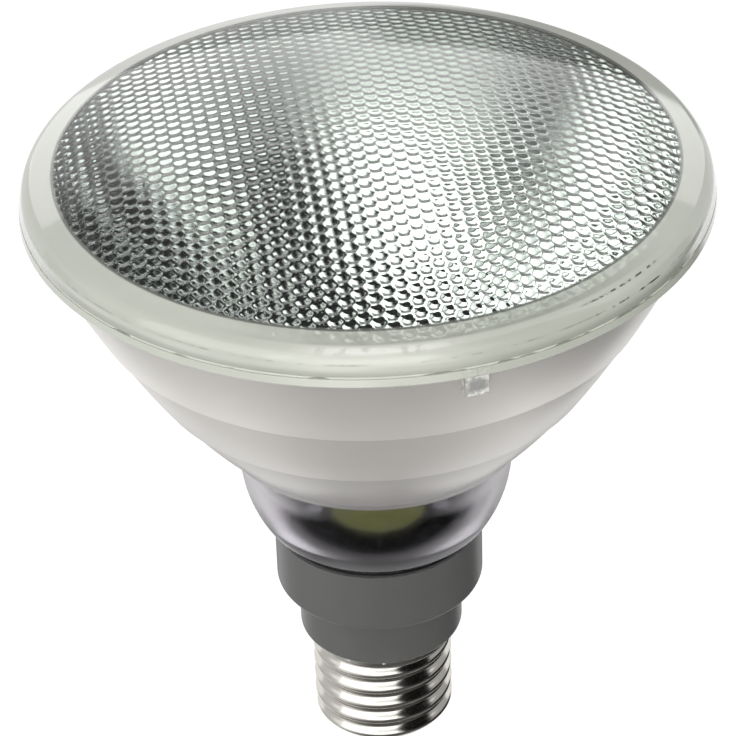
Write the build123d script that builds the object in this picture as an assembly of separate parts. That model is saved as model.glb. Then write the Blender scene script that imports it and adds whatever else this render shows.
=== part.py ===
"""LED reflector bulb: pressed-glass bowl and lens on a plastic collar with a screw cap.

Millimetres, +Z up. The lamp stands on its screw cap: the centre contact's tip is at z = 0,
the lens dome's crown is at the top, and the lamp's axis is the Z axis.
"""
import os
from math import asin, cos, radians, sin, sqrt

from build123d import *

# Front lens
rim_radius = 60.4
dome_rise = 9.0
lens_skirt = 3.4
lens_side_taper = 0.9
lens_side_inset = 0.2
lens_edge_round = 3.0
lens_wall = 3.6
lens_seat_overhang = 0.9

# Joint between lens and bowl
rim_flange_height = 1.3
rim_flange_taper = 0.15
rim_edge_chamfer = 0.5
rim_underside_rise = 1.1
rim_overhang = 2.6
rim_seal_thickness = 0.5
rim_seal_inset = 1.2
rim_seal_margin = 0.3

# Reflector bowl, a paraboloid of revolution between the crease and the rim
bowl_depth = 46.2
bowl_wall = 2.3
bowl_throat_drop = 2.2
bowl_ring_drops = (18.3, 33.3)
bowl_ring_step = 0.4
lug_width = 4.0
lug_height = 3.6
lug_proud = 1.3
lug_root = 1.0
lug_azimuth = -73.8

# Neck of the bowl, a zone of a sphere that turns in to a short spigot
crease_radius = 28.7
crease_rise = 7.2
neck_radius = 24.9
neck_wall = 2.4
neck_flare_start = 1.8
neck_flare_reach = 3.1
neck_shoulder_drop = 12.7
neck_gap = 1.0
spigot_wall = 1.8
spigot_root = 1.9

# Collar
collar_radius = 19.2
collar_height = 12.2
collar_band_radius = 15.2
collar_band_height = 11.4
collar_lip = 0.8
collar_wall = 1.8
collar_edge_round = 0.9
collar_seat_depth = 6.0
collar_floor = 2.0
nose_wall = 1.5
nose_gap = 1.0
neck_seal_width = 1.4
neck_seal_height = 4.9

# Screw cap: a rolled round thread under a plain skirt
contact_height = 1.6
contact_radius = 4.8
contact_tip_radius = 2.6
contact_stem_radius = 3.0
contact_stem_height = 3.4
insulator_cone_height = 3.8
insulator_rise = 2.6
insulator_rim_height = 1.0
insulator_foot = 0.4
shell_height = 20.7
shell_wall = 0.6
shell_turn_in = 2.2
shell_lip_wall = 0.35
skirt_length = 2.7
skirt_step = 0.05
thread_pitch = 3.629
thread_crest_radius = 13.15
thread_depth = 1.05
thread_round = 1.35
thread_lead_in = 4.73

# Light source
sink_flange = 1.5
sink_boss_height = 4.8
sink_plate = 2.5
sink_wall = 1.2
sink_skirt_drop = 3.5
led_board_thickness = 1.2
led_board_margin = 1.2
led_disc_radius = 8.7
led_dam_width = 0.9
led_dam_height = 0.8
led_fill_height = 0.6
led_screw_radius = 0.9
led_screw_margin = 0.4
led_screw_head_height = 1.2
led_screw_depth = 2.0
led_screw_slot = 0.4
led_wire_start = 0.7
wire_passage_radius = 1.0
wire_passage_margin = 0.2

# Driver, upright on a board that stands in the collar
board_thickness = 1.2
board_head_height = 13.1
board_head_margin = 0.6
board_edge_depth = 0.7
board_tail_gap = 1.3
board_stop = 0.3
wire_radius = 0.4
wire_bend = 1.0
wire_inset = 2.9
wire_overlap = 4.6
wire_arch = 1.4
lead_radius = 0.3
lead_bend = 0.5
lead_rise = 1.3
lead_root = 0.2
core_width = 13.0
core_height = 11.6
core_depth = 6.0
core_leg = 4.0
core_side = 2.0
core_lift = 0.7
bobbin_wall = 0.5
bobbin_flange = 0.6
winding_inset = 0.35
transformer_margin = 0.8
can_margin = 1.3
can_lift = 1.2
can_headroom = 3.4
can_round = 0.6
can_lead_spacing = 2.4
choke_radius = 3.4
choke_waist = 1.6
choke_length = 9.0
choke_lift = 1.7
choke_flange = 1.0
choke_winding_inset = 0.4
film_size = (9.0, 5.0, 8.0)
film_place = (-3.2, 6.1)
film_round = 0.8
bridge_size = (4.0, 1.6, 4.8)
bridge_place = (5.0, 3.3)
chip_size = (3.9, 1.5, 4.9)
chip_place = (5.0, 9.3)
chip_chamfer = 0.3
chip_foot_length = 1.0
chip_foot_width = 0.5
chip_foot_thickness = 0.3
fuse_radius = 1.2
fuse_length = 6.0
fuse_inset = 2.7
fuse_lift = 3.7
fuse_round = 0.4

# Clearances
slide_fit = 0.1
seat_fit = 0.4
thread_fit = 0.05

# Heights, stacked from the contact's tip at zero
shell_bottom = contact_height + insulator_cone_height
insulator_top = shell_bottom + insulator_rise
insulator_seat = insulator_top - insulator_rim_height
cap_top = shell_bottom + shell_height
collar_step = cap_top + collar_band_height
collar_top = collar_step + collar_height
collar_seat = collar_top - collar_seat_depth
sink_flange_top = collar_seat + sink_flange
sink_top = sink_flange_top + sink_boss_height
led_board_top = sink_top + led_board_thickness
neck_centre = collar_top + neck_gap + neck_wall + neck_shoulder_drop
crease_height = neck_centre + crease_rise
bowl_top = crease_height + bowl_depth
rim_edge = bowl_top + rim_underside_rise
flange_top = rim_edge + rim_flange_height
lens_bottom = flange_top + rim_seal_thickness
dome_edge = lens_bottom + lens_skirt
lamp_length = dome_edge + dome_rise
nose_bottom = insulator_top + nose_gap
band_room_floor = cap_top + collar_wall
board_top = band_room_floor + board_head_height
board_tail_bottom = nose_bottom + board_tail_gap

# Radii and half widths that follow from the sizes above
dome_edge_radius = rim_radius - lens_side_inset - lens_side_taper
dome_radius = (dome_edge_radius ** 2 + dome_rise ** 2) / (2 * dome_rise)
dome_centre = lamp_length - dome_radius
bowl_top_radius = rim_radius - rim_overhang
bowl_mouth_radius = bowl_top_radius - bowl_wall
bowl_focal_length = (bowl_top_radius ** 2 - crease_radius ** 2) / (4 * bowl_depth)
bowl_vertex = crease_height - crease_radius ** 2 / (4 * bowl_focal_length)
lens_inner_radius = bowl_mouth_radius - lens_seat_overhang
collar_mouth_radius = collar_radius - collar_lip
collar_room_radius = collar_mouth_radius - collar_wall
band_room_radius = collar_band_radius - collar_wall
spigot_radius = collar_mouth_radius - neck_seal_width
spigot_inner_radius = spigot_radius - spigot_wall
shell_side = thread_crest_radius + thread_fit
root_radius = thread_crest_radius - thread_depth
skirt_radius = thread_crest_radius + skirt_step
shell_bore = root_radius - shell_wall
shell_lip = shell_side - shell_turn_in - shell_lip_wall
nose_radius = shell_bore - slide_fit
nose_bore = nose_radius - nose_wall
nose_groove = (shell_bore - wire_radius) * cos(radians(45))
sink_radius = spigot_inner_radius - seat_fit
sink_room_radius = sink_radius - sink_wall
led_board_radius = sink_radius - led_board_margin
led_dam_radius = led_disc_radius + led_dam_width
led_screw_circle = (led_dam_radius + led_board_radius) / 2
led_screw_head_radius = (led_board_radius - led_dam_radius) / 2 - led_screw_margin
led_wire_circle = sink_room_radius - wire_passage_radius - wire_passage_margin
board_face = board_thickness / 2
can_radius = (nose_bore - board_face - can_margin) / 2


def bowl_height(radius):
    """Height of the bowl's outer paraboloid at a radius."""
    return bowl_vertex + radius ** 2 / (4 * bowl_focal_length)


def bowl_radius(height):
    """Radius of the bowl's outer paraboloid at a height."""
    return sqrt(4 * bowl_focal_length * (height - bowl_vertex))


def sphere_point(radius, height):
    """Point of a neck sphere's profile, given the sphere's radius and a height."""
    drop = height - neck_centre
    return (sqrt(radius ** 2 - drop ** 2), height)


def parabola_arc(start, end, offset_end):
    """Exact parabola from start to end about the lamp's axis, its end moved out by offset_end."""
    focal = (end[0] ** 2 - start[0] ** 2) / (4 * (end[1] - start[1]))
    slope = start[0] / (2 * focal)
    middle_radius = (start[0] + end[0]) / 2
    middle_height = start[1] + slope * (end[0] - start[0]) / 2
    control = (middle_radius + offset_end / 2, middle_height)
    return Bezier(start, control, (end[0] + offset_end, end[1]))


def turned(profile):
    """Solid of revolution about the lamp's axis from (radius, height) curves or points."""
    if isinstance(profile, list):
        face = make_face(Polyline(*profile, close=True))
    else:
        face = make_face(profile)
    return revolve(Plane.XZ * face, Axis.Z, 360)


def rod(radius, low, high, x=0.0, y=0.0):
    """Upright cylinder between two heights."""
    return Pos(x, y, (low + high) / 2) * Cylinder(radius, high - low)


def block(x_span, y_span, z_span):
    """Box between limits on each axis."""
    size = [span[1] - span[0] for span in (x_span, y_span, z_span)]
    centre = [(span[1] + span[0]) / 2 for span in (x_span, y_span, z_span)]
    return Pos(*centre) * Box(*size)


def wire(points, radius=wire_radius, bend=wire_bend):
    """Round wire along a bent path."""
    path = FilletPolyline(*points, radius=bend)
    section = Plane(origin=path @ 0, z_dir=path % 0) * Circle(radius)
    return sweep(section, path=path)


def ring_edges(solid, radius, height):
    """Circular edges of a turned solid at one radius and height."""
    rings = solid.edges().filter_by(GeomType.CIRCLE)
    return [edge for edge in rings
            if abs(edge.radius - radius) < 0.01 and abs(edge.center().Z - height) < 0.01]


def dome_point(radius, sphere):
    """Point at a radius on a sphere about the dome's centre."""
    return (radius, dome_centre + sqrt(sphere ** 2 - radius ** 2))


def front_lens():
    """Domed lens of even thickness with a flat seat at its edge."""
    inner_dome = dome_radius - lens_wall
    middle = dome_edge_radius / 2
    edge = dome_point(dome_edge_radius, dome_radius)
    foot = (rim_radius - lens_side_inset, lens_bottom)
    inner_edge = dome_point(lens_inner_radius, inner_dome)
    crown = (0, lamp_length)
    inner_crown = (0, lamp_length - lens_wall)
    profile = Curve() + [
        Line(inner_crown, crown),
        ThreePointArc(crown, dome_point(middle, dome_radius), edge),
        Line(edge, foot),
        Line(foot, (lens_inner_radius, lens_bottom)),
        Line((lens_inner_radius, lens_bottom), inner_edge),
        ThreePointArc(inner_edge, dome_point(middle, inner_dome), inner_crown),
    ]
    lens = turned(profile)
    return fillet(ring_edges(lens, dome_edge_radius, dome_edge), lens_edge_round)


def rim_seal():
    """Flat bead of cement between the lens seat and the bowl's flange."""
    inner = bowl_mouth_radius + rim_seal_margin
    outer = rim_radius - rim_seal_inset
    return turned([(inner, flange_top), (outer, flange_top), (outer, lens_bottom), (inner, lens_bottom)])


def bowl_outside():
    """Outer profile of the bowl from its flange down to the crease, with its shallow ring steps."""
    curves = []
    levels = [bowl_top] + [rim_edge - drop for drop in bowl_ring_drops] + [crease_height]
    for index in range(len(levels) - 1):
        high = levels[index]
        low = levels[index + 1]
        last = index == len(levels) - 2
        start = (bowl_radius(high), high)
        end = (bowl_radius(low), low)
        step = 0.0 if last else bowl_ring_step
        curves.append(parabola_arc(start, end, step))
        if not last:
            curves.append(Line((end[0] + step, low), end))
    return curves


def turn_in_arc(shoulder, foot, drop):
    """Rounded shoulder that turns in from the neck's sphere to the spigot."""
    bulge = 0.62
    middle = (foot[0] + bulge * (shoulder[0] - foot[0]), shoulder[1] - bulge * drop)
    return ThreePointArc(shoulder, middle, foot)


def neck_outside():
    """Outer profile of the neck from the crease down to the spigot's end."""
    crease = (crease_radius, crease_height)
    sphere_top = sphere_point(neck_radius, neck_centre - neck_flare_start)
    lean = asin(neck_flare_start / neck_radius)
    control = (sphere_top[0] + neck_flare_reach * sin(lean), sphere_top[1] + neck_flare_reach * cos(lean))
    shoulder = sphere_point(neck_radius, neck_centre - neck_shoulder_drop)
    middle = sphere_point(neck_radius, (sphere_top[1] + shoulder[1]) / 2)
    foot = (spigot_radius, shoulder[1] - neck_wall)
    return [
        Bezier(crease, control, sphere_top),
        ThreePointArc(sphere_top, middle, shoulder),
        turn_in_arc(shoulder, foot, neck_wall),
        Line(foot, (spigot_radius, sink_flange_top)),
    ]


def glass_inside():
    """Inner profile of bowl and neck from the spigot's end up to the mouth."""
    inner = neck_radius - neck_wall
    shoulder = sphere_point(inner, neck_centre - neck_shoulder_drop + neck_wall / 2)
    waist = sphere_point(inner, neck_centre)
    middle = sphere_point(inner, (shoulder[1] + waist[1]) / 2)
    foot = (spigot_inner_radius, shoulder[1] - spigot_root)
    throat = (inner, crease_height - bowl_throat_drop)
    mouth = (bowl_mouth_radius, flange_top)
    return [
        Line((spigot_radius, sink_flange_top), (spigot_inner_radius, sink_flange_top)),
        Line((spigot_inner_radius, sink_flange_top), foot),
        turn_in_arc(shoulder, foot, spigot_root),
        ThreePointArc(shoulder, middle, waist),
        Line(waist, throat),
        parabola_arc(throat, mouth, 0.0),
    ]


def reflector_bowl():
    """Bowl, rim flange, neck and spigot pressed as one piece of glass."""
    under = (bowl_top_radius, bowl_top)
    edge = (rim_radius, rim_edge)
    chamfer_foot = (rim_radius - rim_edge_chamfer, rim_edge - rim_edge_chamfer)
    top = (rim_radius - rim_flange_taper, flange_top)
    flange = [
        Line((bowl_mouth_radius, flange_top), top),
        Line(top, edge),
        Line(edge, chamfer_foot),
        Line(chamfer_foot, under),
    ]
    glass = turned(Curve() + flange + bowl_outside() + neck_outside() + glass_inside())
    return glass + rim_lug()


def rim_lug():
    """Small square lug on the bowl's outer face, hard under the flange."""
    high = rim_edge - rim_edge_chamfer
    low = bowl_top - lug_height
    outer = bowl_radius(bowl_top) + lug_proud
    inner = bowl_radius(low) - lug_root
    lug = block((inner, outer), (-lug_width / 2, lug_width / 2), (low, high))
    return Rot(0, 0, lug_azimuth) * lug


def collar():
    """Two-step collar with a mouth for the glass, a seat for the heat sink and a nose for the cap."""
    body = turned([
        (collar_mouth_radius, collar_top),
        (collar_radius, collar_top),
        (collar_radius, collar_step),
        (collar_band_radius, collar_step),
        (collar_band_radius, cap_top),
        (nose_radius, cap_top),
        (nose_radius, nose_bottom),
        (nose_bore, nose_bottom),
        (nose_bore, band_room_floor),
        (band_room_radius, band_room_floor),
        (band_room_radius, collar_step + collar_floor),
        (collar_room_radius, collar_step + collar_floor),
        (collar_room_radius, collar_seat),
        (collar_mouth_radius, collar_seat),
    ])
    rounded = ring_edges(body, collar_radius, collar_step)
    rounded += ring_edges(body, collar_band_radius, cap_top)
    body = fillet(rounded, collar_edge_round)
    reach = nose_bore + board_edge_depth + slide_fit
    half_slot = board_face + slide_fit
    stop = board_tail_bottom - board_stop
    slot = block((-reach, reach), (-half_slot, half_slot), (stop, band_room_floor))
    groove_top = board_tail_bottom + wire_overlap + wire_bend
    groove = rod(wire_radius + thread_fit, nose_bottom, groove_top, nose_groove, nose_groove)
    return body - slot - groove


def neck_seal():
    """Dark ring of sealant between the spigot and the collar's mouth."""
    top = sink_flange_top + neck_seal_height
    return turned([(spigot_radius, sink_flange_top), (collar_mouth_radius, sink_flange_top),
                   (collar_mouth_radius, top), (spigot_radius, top)])


def screw_places():
    """Places of the two screws on the LED board."""
    return [(-led_screw_circle, 0.0), (led_screw_circle, 0.0)]


def wire_places():
    """Places of the two wire passages through the heat sink."""
    return [(0.0, -led_wire_circle), (0.0, led_wire_circle)]


def heat_sink():
    """Turned cup with a flange that sits in the collar and a top plate under the LED board."""
    flange_radius = collar_mouth_radius - seat_fit
    skirt_outer = collar_room_radius - seat_fit
    skirt_inner = skirt_outer - sink_wall
    skirt_bottom = collar_seat - sink_skirt_drop
    cup = turned([
        (0, sink_top),
        (sink_radius, sink_top),
        (sink_radius, sink_flange_top),
        (flange_radius, sink_flange_top),
        (flange_radius, collar_seat),
        (skirt_outer, collar_seat),
        (skirt_outer, skirt_bottom),
        (skirt_inner, skirt_bottom),
        (skirt_inner, collar_seat),
        (sink_room_radius, collar_seat),
        (sink_room_radius, sink_top - sink_plate),
        (0, sink_top - sink_plate),
    ])
    for x, y in screw_places():
        cup -= rod(led_screw_radius + thread_fit, sink_top - led_screw_depth - slide_fit, sink_top, x, y)
    for x, y in wire_places():
        cup -= rod(wire_passage_radius, sink_top - sink_plate, sink_top, x, y)
    return cup


def led_board():
    """Round metal board of the light source, notched for its two wires."""
    board = rod(led_board_radius, sink_top, led_board_top)
    for x, y in screw_places():
        board -= rod(led_screw_radius + slide_fit, sink_top, led_board_top, x, y)
    for x, y in wire_places():
        board -= rod(wire_passage_radius, sink_top, led_board_top, x, y)
        edge = y * 2
        span = (min(y, edge), max(y, edge))
        board -= block((-wire_passage_radius, wire_passage_radius), span, (sink_top, led_board_top))
    return board


def led_dam():
    """Ring that holds the phosphor fill."""
    return turned([(led_disc_radius, led_board_top), (led_dam_radius, led_board_top),
                   (led_dam_radius, led_board_top + led_dam_height),
                   (led_disc_radius, led_board_top + led_dam_height)])


def led_phosphor():
    """Disc of phosphor fill over the chips."""
    return rod(led_disc_radius, led_board_top, led_board_top + led_fill_height)


def led_screws():
    """Two pan-head screws that hold the LED board to the heat sink."""
    screws = []
    for x, y in screw_places():
        head_top = led_board_top + led_screw_head_height
        shank = rod(led_screw_radius, sink_top - led_screw_depth, led_board_top, x, y)
        head = rod(led_screw_head_radius, led_board_top, head_top, x, y)
        reach = led_screw_head_radius + slide_fit
        half = led_screw_slot / 2
        slot = block((x - reach, x + reach), (y - half, y + half), (head_top - led_screw_slot, head_top))
        screws.append(shank + head - slot)
    return Compound(screws)


def led_wire(side):
    """Wire from the LED board's pad, through the heat sink and down the driver board's face."""
    pad = led_board_top + wire_radius
    face = side * (board_face + wire_radius)
    x = side * (band_room_radius - wire_inset)
    start = side * (led_dam_radius + led_wire_start)
    passage = side * led_wire_circle
    return wire([
        (0, start, pad),
        (0, passage, pad),
        (0, passage, board_top + 2 * wire_arch),
        (x, face, board_top + wire_arch),
        (x, face, board_top - wire_overlap),
    ])


def driver_board():
    """Upright circuit board: its tail slides in the nose's slots, its shoulders rest on the floor."""
    half_head = band_room_radius - board_head_margin
    half_tail = nose_bore + board_edge_depth
    head = block((-half_head, half_head), (-board_face, board_face), (band_room_floor, board_top))
    tail = block((-half_tail, half_tail), (-board_face, board_face), (board_tail_bottom, band_room_floor))
    return head + tail


def window_outer():
    """Distance from the transformer's middle to the inside of an outer leg."""
    return core_width / 2 - core_side


def bobbin_half_depth():
    """Half the bobbin's depth, from the board's face to the wall of the room less a margin."""
    reach = band_room_radius - transformer_margin
    return (sqrt(reach ** 2 - window_outer() ** 2) - board_face) / 2


def transformer_place():
    """Transformer's centre, with the bobbin's flanges against the board's face."""
    height = band_room_floor + core_lift + core_height / 2
    return Pos(0, -board_face - bobbin_half_depth(), height)


def window_half_height():
    """Half the height of the core's windows."""
    return core_height / 2 - core_side


def transformer_core():
    """Ferrite core with a centre leg and two windows."""
    core = Box(core_width, core_depth, core_height)
    window_width = window_outer() - core_leg / 2
    for side in (-1, 1):
        x = side * (core_leg / 2 + window_width / 2)
        core -= Pos(x, 0, 0) * Box(window_width, core_depth, 2 * window_half_height())
    return transformer_place() * core


def bobbin_tube_size():
    """Outside width and depth of the bobbin's tube."""
    wall = 2 * (bobbin_wall + slide_fit)
    return core_leg + wall, core_depth + wall


def transformer_bobbin():
    """Square tube round the centre leg with a flange at each end."""
    width, depth = bobbin_tube_size()
    half = window_half_height() - slide_fit
    tube = Box(width, depth, 2 * half)
    plate_width = 2 * (window_outer() - slide_fit)
    for side in (-1, 1):
        z = side * (half - bobbin_flange / 2)
        tube += Pos(0, 0, z) * Box(plate_width, 2 * bobbin_half_depth(), bobbin_flange)
    tube -= Box(core_leg + 2 * slide_fit, core_depth + 2 * slide_fit, 2 * half)
    return transformer_place() * tube


def transformer_winding():
    """Wound copper on the bobbin between its flanges."""
    width, depth = bobbin_tube_size()
    height = 2 * (window_half_height() - slide_fit - bobbin_flange)
    outer_width = 2 * (window_outer() - slide_fit - winding_inset)
    outer_depth = 2 * (bobbin_half_depth() - winding_inset)
    outer = RectangleRounded(outer_width, outer_depth, (outer_width - width) / 2)
    section = outer - Rectangle(width, depth)
    return transformer_place() * Pos(0, 0, -height / 2) * extrude(section, height)


def bent_lead(x, y, start, way):
    """Lead that leaves a component's end along the board and turns to the board's front face."""
    turn = start + way * lead_rise
    root = start - way * lead_root
    return wire([(x, y, root), (x, y, turn), (x, -board_face, turn)], lead_radius, lead_bend)


def smoothing_capacitor():
    """Electrolytic can that stands in the nose, with two leads bent to the board."""
    y = -board_face - can_radius
    top = band_room_floor - can_headroom
    can = rod(can_radius, board_tail_bottom + can_lift, top, 0, y)
    can = fillet(can.edges().filter_by(GeomType.CIRCLE), can_round)
    for side in (-1, 1):
        can += bent_lead(side * can_lead_spacing / 2, y, top, 1)
    return can


def choke_core():
    """Drum-shaped ferrite core of the choke."""
    y = board_face + choke_radius
    low = board_tail_bottom + choke_lift
    high = low + choke_length
    drum = rod(choke_waist, low, high, 0, y)
    drum += rod(choke_radius, low, low + choke_flange, 0, y)
    drum += rod(choke_radius, high - choke_flange, high, 0, y)
    return drum


def choke_winding():
    """Wound copper on the choke's waist."""
    y = board_face + choke_radius
    low = board_tail_bottom + choke_lift + choke_flange
    high = low + choke_length - 2 * choke_flange
    outer = rod(choke_radius - choke_winding_inset, low, high, 0, y)
    return outer - rod(choke_waist, low, high, 0, y)


def on_back(size, place):
    """Box on the board's back face, its middle at a place across and above the collar's inner floor."""
    x = place[0]
    z = band_room_floor + place[1]
    return block((x - size[0] / 2, x + size[0] / 2), (board_face, board_face + size[1]),
                 (z - size[2] / 2, z + size[2] / 2))


def film_capacitor():
    """Box-shaped film capacitor."""
    box = on_back(film_size, film_place)
    return fillet(box.edges().filter_by(Axis.Y), film_round)


def footed_package(size, place, feet_a_side):
    """Flat package with a row of feet on each long side."""
    body = on_back(size, place)
    body = chamfer(body.faces().sort_by(Axis.Y)[-1].edges(), chip_chamfer)
    spacing = size[2] / (feet_a_side + 0.5)
    span = size[0] + 2 * chip_foot_length
    for index in range(feet_a_side):
        shift = (index - (feet_a_side - 1) / 2) * spacing
        body += on_back((span, chip_foot_thickness, chip_foot_width), (place[0], place[1] + shift))
    return body


def bridge_rectifier():
    """Four-footed rectifier package."""
    return footed_package(bridge_size, bridge_place, 2)


def control_chip():
    """Eight-footed control chip."""
    return footed_package(chip_size, chip_place, 4)


def fuse_resistor():
    """Fusible resistor on the board's front, its leads bent to the board."""
    x = fuse_inset - nose_bore
    y = -board_face - fuse_radius
    low = board_tail_bottom + fuse_lift
    high = low + fuse_length
    body = rod(fuse_radius, low, high, x, y)
    body = fillet(body.edges().filter_by(GeomType.CIRCLE), fuse_round)
    return body + bent_lead(x, y, low, -1) + bent_lead(x, y, high, 1)


def live_wire():
    """Wire from the board's tail to the centre contact."""
    x = wire_inset - nose_bore
    face = board_face + wire_radius
    stem_top = contact_height + contact_stem_height
    run = (insulator_top + nose_bottom) / 2
    return wire([(x, face, board_tail_bottom + wire_overlap), (x, face, board_tail_bottom - wire_bend),
                 (0, 0, run), (0, 0, stem_top)])


def neutral_wire():
    """Wire from the board's tail, round the nose's end and up between nose and shell."""
    x = nose_bore - wire_inset
    face = board_face + wire_radius
    run = (insulator_top + nose_bottom) / 2
    top = board_tail_bottom + wire_overlap
    groove = nose_groove
    points = [(x, face, top), (x, face, run), (groove, groove, run), (groove, groove, top)]
    return wire(points, bend=nose_bottom - run)


def shell_envelope():
    """Outer limit of the shell: straight side, turned in at the bottom."""
    foot = (shell_side - shell_turn_in, shell_bottom)
    side_foot = (shell_side, shell_bottom + shell_turn_in)
    profile = Curve() + [
        Line((0, shell_bottom), foot),
        TangentArc(foot, side_foot, tangent=(1, 0)),
        Line(side_foot, (shell_side, cap_top)),
        Line((shell_side, cap_top), (0, cap_top)),
        Line((0, cap_top), (0, shell_bottom)),
    ]
    return turned(profile)


def thread_ridge():
    """Round ridge of the screw thread on its helix, running past both ends of the thread."""
    low = shell_bottom - thread_lead_in
    high = cap_top - skirt_length + thread_round + slide_fit
    path = Helix(pitch=thread_pitch, height=high - low,
                 radius=thread_crest_radius - thread_round, center=(0, 0, low))
    section = Plane(origin=path @ 0, z_dir=path % 0) * Circle(thread_round)
    return sweep(section, path=path, is_frenet=True)


def screw_shell():
    """Rolled shell: round thread cut off at the turned-in bottom, plain skirt at the top."""
    shell = rod(root_radius, shell_bottom, cap_top) + thread_ridge()
    shell = shell & shell_envelope()
    shell += rod(skirt_radius, cap_top - skirt_length, cap_top)
    bore = turned([(0, shell_bottom), (shell_lip, shell_bottom), (shell_bore, insulator_seat),
                   (shell_bore, cap_top), (0, cap_top)])
    return shell - bore


def cap_insulator():
    """Glass insulator held in the shell's turned-in bottom."""
    stem = contact_stem_radius + thread_fit
    return turned([(stem, contact_height), (contact_radius + insulator_foot, contact_height),
                   (shell_lip, shell_bottom), (shell_bore, insulator_seat), (shell_bore, insulator_top),
                   (stem, insulator_top)])


def centre_contact():
    """Contact button with a flat tip and a stem in the insulator."""
    stem_top = contact_height + contact_stem_height
    profile = Curve() + [
        Line((0, 0), (contact_tip_radius, 0)),
        TangentArc((contact_tip_radius, 0), (contact_radius, contact_height), tangent=(1, 0)),
        Line((contact_radius, contact_height), (contact_stem_radius, contact_height)),
        Line((contact_stem_radius, contact_height), (contact_stem_radius, stem_top)),
        Line((contact_stem_radius, stem_top), (0, stem_top)),
        Line((0, stem_top), (0, 0)),
    ]
    return turned(profile)


nodes = {
    "front_lens": front_lens(),
    "rim_seal": rim_seal(),
    "reflector_bowl": reflector_bowl(),
    "collar": collar(),
    "neck_seal": neck_seal(),
    "heat_sink": heat_sink(),
    "led_board": led_board(),
    "led_dam": led_dam(),
    "led_phosphor": led_phosphor(),
    "led_screws": led_screws(),
    "led_wire_positive": led_wire(1),
    "led_wire_negative": led_wire(-1),
    "driver_board": driver_board(),
    "transformer_core": transformer_core(),
    "transformer_bobbin": transformer_bobbin(),
    "transformer_winding": transformer_winding(),
    "smoothing_capacitor": smoothing_capacitor(),
    "choke_core": choke_core(),
    "choke_winding": choke_winding(),
    "film_capacitor": film_capacitor(),
    "bridge_rectifier": bridge_rectifier(),
    "control_chip": control_chip(),
    "fuse_resistor": fuse_resistor(),
    "live_wire": live_wire(),
    "neutral_wire": neutral_wire(),
    "screw_shell": screw_shell(),
    "cap_insulator": cap_insulator(),
    "centre_contact": centre_contact(),
}

os.makedirs("parts", exist_ok=True)
for name, solid in nodes.items():
    export_step(solid, f"parts/{name}.step")
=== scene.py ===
"""Blender scene of a pressed-glass LED reflector bulb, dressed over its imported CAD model.

Everything is in metres in the CAD model's frame: +Z runs up the lamp's axis from the
contact's tip to the lens, and -Y is the side that the camera sees.
"""

from math import atan2, cos, pi, radians, sin, sqrt

import bmesh
import bpy
from mathutils import Matrix, Vector


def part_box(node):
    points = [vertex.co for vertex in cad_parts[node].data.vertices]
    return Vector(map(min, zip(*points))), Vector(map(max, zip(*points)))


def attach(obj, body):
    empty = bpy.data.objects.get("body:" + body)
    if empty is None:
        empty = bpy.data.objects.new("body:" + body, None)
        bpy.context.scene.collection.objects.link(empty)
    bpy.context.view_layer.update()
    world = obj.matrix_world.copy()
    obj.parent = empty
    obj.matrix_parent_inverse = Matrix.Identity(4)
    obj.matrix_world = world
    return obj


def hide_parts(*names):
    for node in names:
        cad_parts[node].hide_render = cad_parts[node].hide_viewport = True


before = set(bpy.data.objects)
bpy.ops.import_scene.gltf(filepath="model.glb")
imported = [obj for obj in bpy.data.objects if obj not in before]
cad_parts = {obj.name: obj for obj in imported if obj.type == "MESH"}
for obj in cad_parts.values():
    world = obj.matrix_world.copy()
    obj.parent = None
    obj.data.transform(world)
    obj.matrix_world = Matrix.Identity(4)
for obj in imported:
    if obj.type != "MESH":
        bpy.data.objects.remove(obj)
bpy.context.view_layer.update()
MM = 0.001
screen_gamma = 2.2


def rgb(red, green, blue):
    """Linear colour from the 0 to 255 values of a screen."""
    return tuple((part / 255) ** screen_gamma for part in (red, green, blue)) + (1.0,)


# Lens
lens_low, lens_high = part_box("front_lens")
lens_radius = lens_high.x
lens_seat = lens_low.z
lens_crown = lens_high.z
lens_side_taper = 0.9 * MM
lens_edge_round = 3.0 * MM
lens_wall = 3.6 * MM
lens_bore = 54.6 * MM
dome_rise = 9.0 * MM
dome_edge_radius = lens_radius - lens_side_taper
dome_radius = (dome_edge_radius ** 2 + dome_rise ** 2) / (2 * dome_rise)
dome_centre = lens_crown - dome_radius
dome_rings = 14
edge_round_steps = 8
lens_wave = 7.0 * MM
lens_wave_depth = 0.02 * MM
lens_cast_size = 25.0 * MM
lens_haze_size = 3.0 * MM
lens_haze = 0.01
lens_tones = rgb(246, 252, 247), rgb(250, 254, 250)
ring_blend = 0.5 * MM
ring_roughness = 0.1

# Honeycomb pressed into the lens's inner face
cell_pitch = 2.62 * MM
cell_turn = radians(-23.4)
cell_height = 0.6 * MM
cell_splits = 3
pattern_radius = 53.6 * MM
grid_columns_reach = 1.6
grid_rows_reach = 1.2

# Glass
glass_index = 1.5
neck_glass_index = 1.15
unreflecting = (0.0, 0.0, 0.0, 1.0)
grain_size = 0.35 * MM
grain_detail = 3.0
cloud_size = 9.0 * MM

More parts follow.
